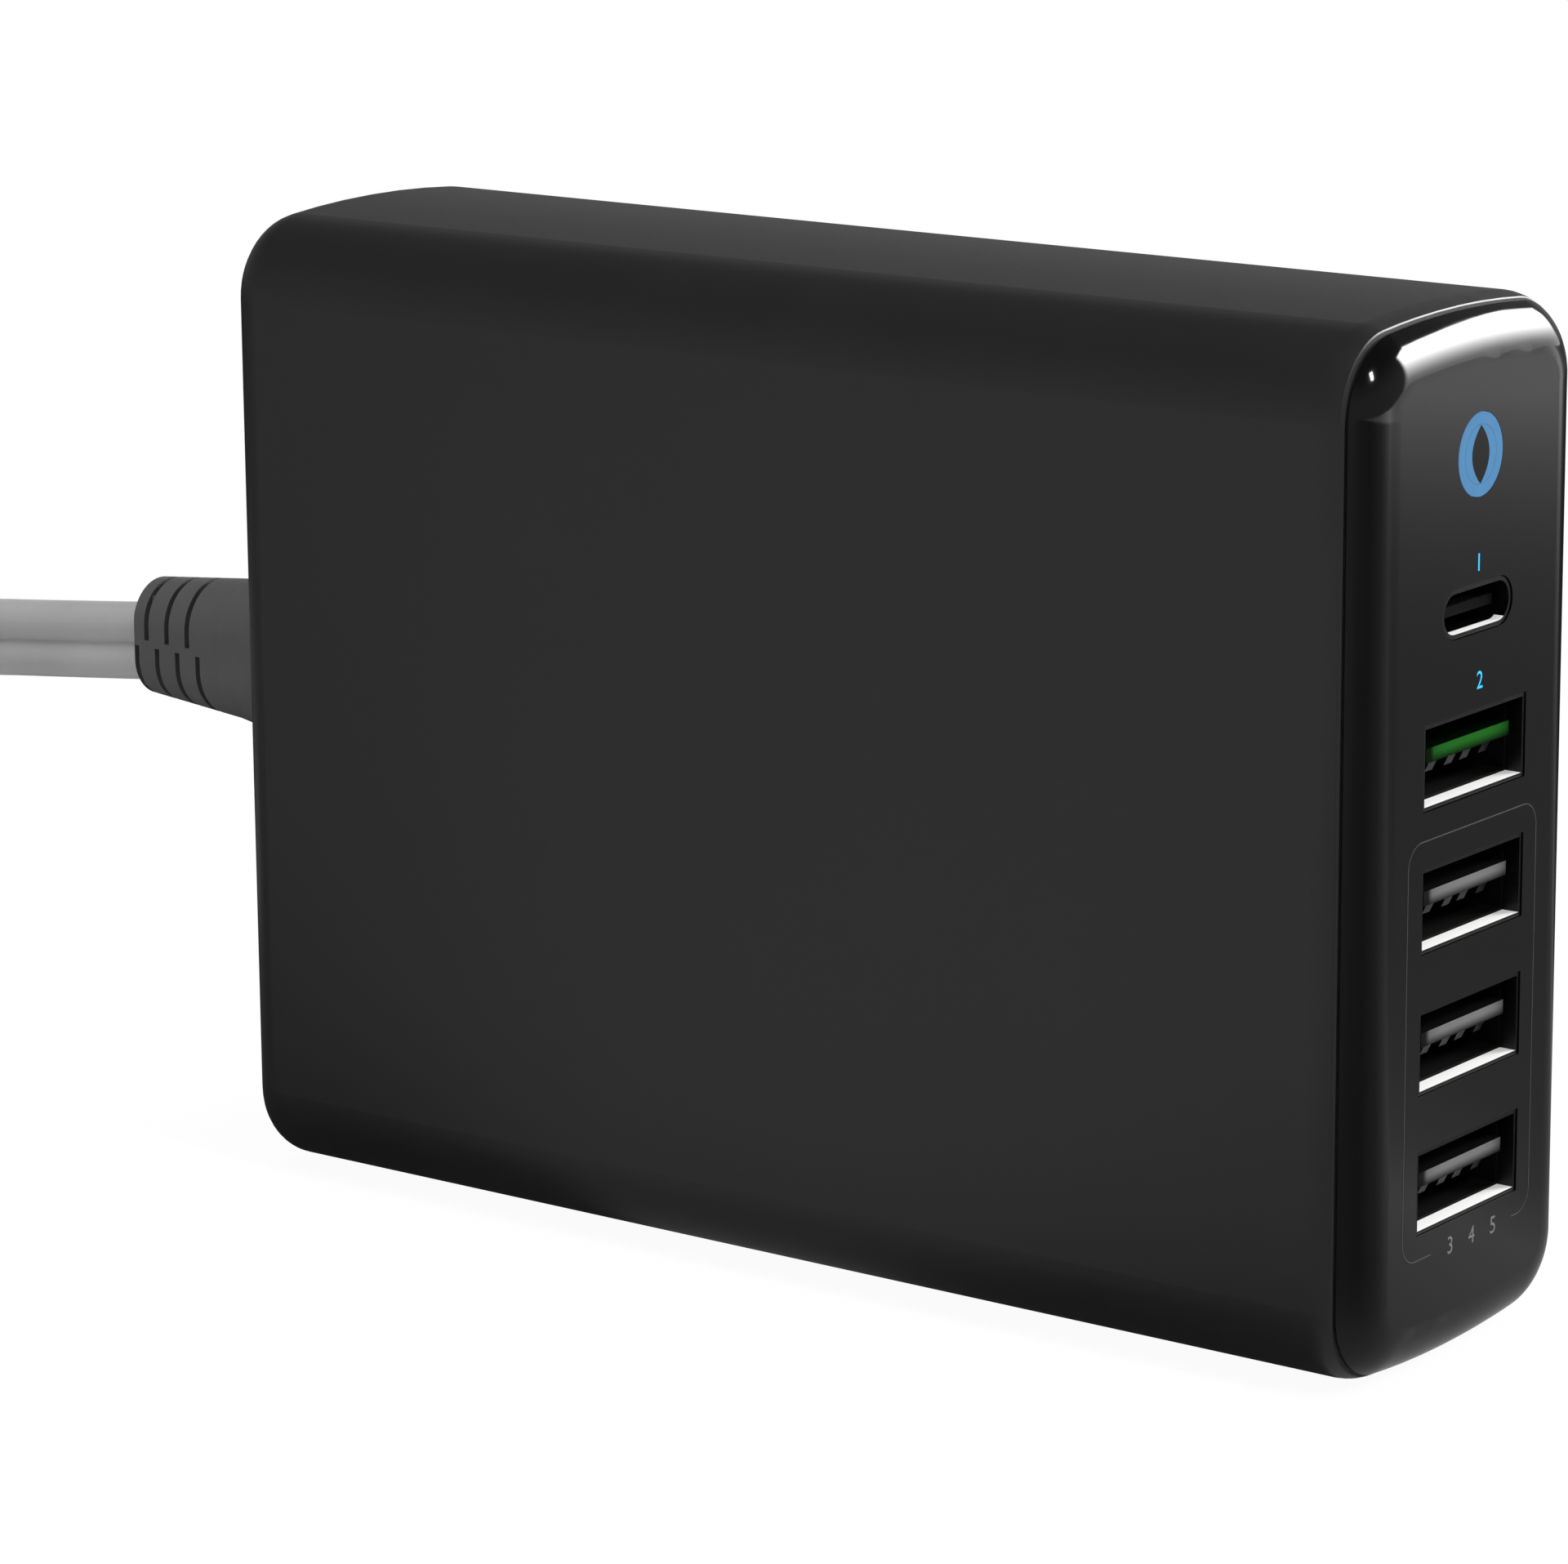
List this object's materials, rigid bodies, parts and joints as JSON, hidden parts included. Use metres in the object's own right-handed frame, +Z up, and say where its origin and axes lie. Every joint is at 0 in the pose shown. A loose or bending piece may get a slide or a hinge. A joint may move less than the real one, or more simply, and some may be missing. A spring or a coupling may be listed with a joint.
{
  "type": "usb charger",
  "caption": "Desktop USB charger standing on its narrow side, with stacked charging ports and a status ring on a gloss front and a detachable mains cord at the back.",
  "frame": {"origin": "on the surface under the middle of the casing", "axes": "+X out of the ports, +Y across the thickness, +Z up"},
  "size_m": [0.275, 0.0588, 0.073],
  "materials": {
    "housing_matte": "fine matte moulded",
    "panel_gloss": "high gloss moulded",
    "ring_blue": "translucent light guide",
    "port_steel": "bright plated sheet",
    "port_black": "plain moulded",
    "tongue_green": "plain moulded",
    "tongue_grey": "plain moulded",
    "contact_gold": "plated",
    "contact_nickel": "plated",
    "board_laminate": "coated laminate",
    "film_clear": "thin film",
    "led_lens": "clear lens",
    "film_yellow": "taped",
    "ferrite": "sintered",
    "copper_wire": "enamelled wire",
    "can_sleeve": "shrink sleeve",
    "heatsink_metal": "plain sheet",
    "can_metal": "drawn can",
    "connector_rubber": "moulded",
    "cord_rubber": "extruded",
    "tie_plastic": "coated wire"
  },
  "bodies": {
    "root": {"bridge_rectifier": "port_black", "bulk_capacitor_1": "can_sleeve", "bulk_capacitor_2": "can_sleeve", "choke_core": "ferrite", "choke_winding": "copper_wire", "connector_sleeves": "contact_gold", "cord_coil": "cord_rubber", "cord_connector": "connector_rubber", "cord_lead": "cord_rubber", "cord_tail": "cord_rubber", "cord_tie": "tie_plastic", "front_panel": "panel_gloss", "fuse": "port_black", "housing": "housing_matte", "inlet_pins": "contact_nickel", "inlet_socket": "port_black", "insulation_sheet": "film_clear", "main_board": "board_laminate", "output_capacitors": "can_metal", "plug_blades": "contact_nickel", "plug_body": "connector_rubber", "port_board": "board_laminate", "primary_heatsink": "heatsink_metal", "primary_switch": "port_black", "ring_guide": "ring_blue", "ring_plug": "panel_gloss", "status_led": "led_lens", "transformer_bobbin": "port_black", "transformer_core": "ferrite", "transformer_winding": "film_yellow", "usb_a_contacts_1": "contact_nickel", "usb_a_contacts_2": "contact_nickel", "usb_a_contacts_3": "contact_nickel", "usb_a_contacts_4": "contact_nickel", "usb_a_liner_1": "port_black", "usb_a_liner_2": "port_black", "usb_a_liner_3": "port_black", "usb_a_liner_4": "port_black", "usb_a_shell_1": "port_steel", "usb_a_shell_2": "port_steel", "usb_a_shell_3": "port_steel", "usb_a_shell_4": "port_steel", "usb_a_tongue_1": "tongue_grey", "usb_a_tongue_2": "tongue_grey", "usb_a_tongue_3": "tongue_grey", "usb_a_tongue_4": "tongue_green", "usb_c_contacts": "contact_gold", "usb_c_shell": "port_steel", "usb_c_tongue": "port_black", "x_capacitor": "film_yellow"}
  },
  "joints": []
}
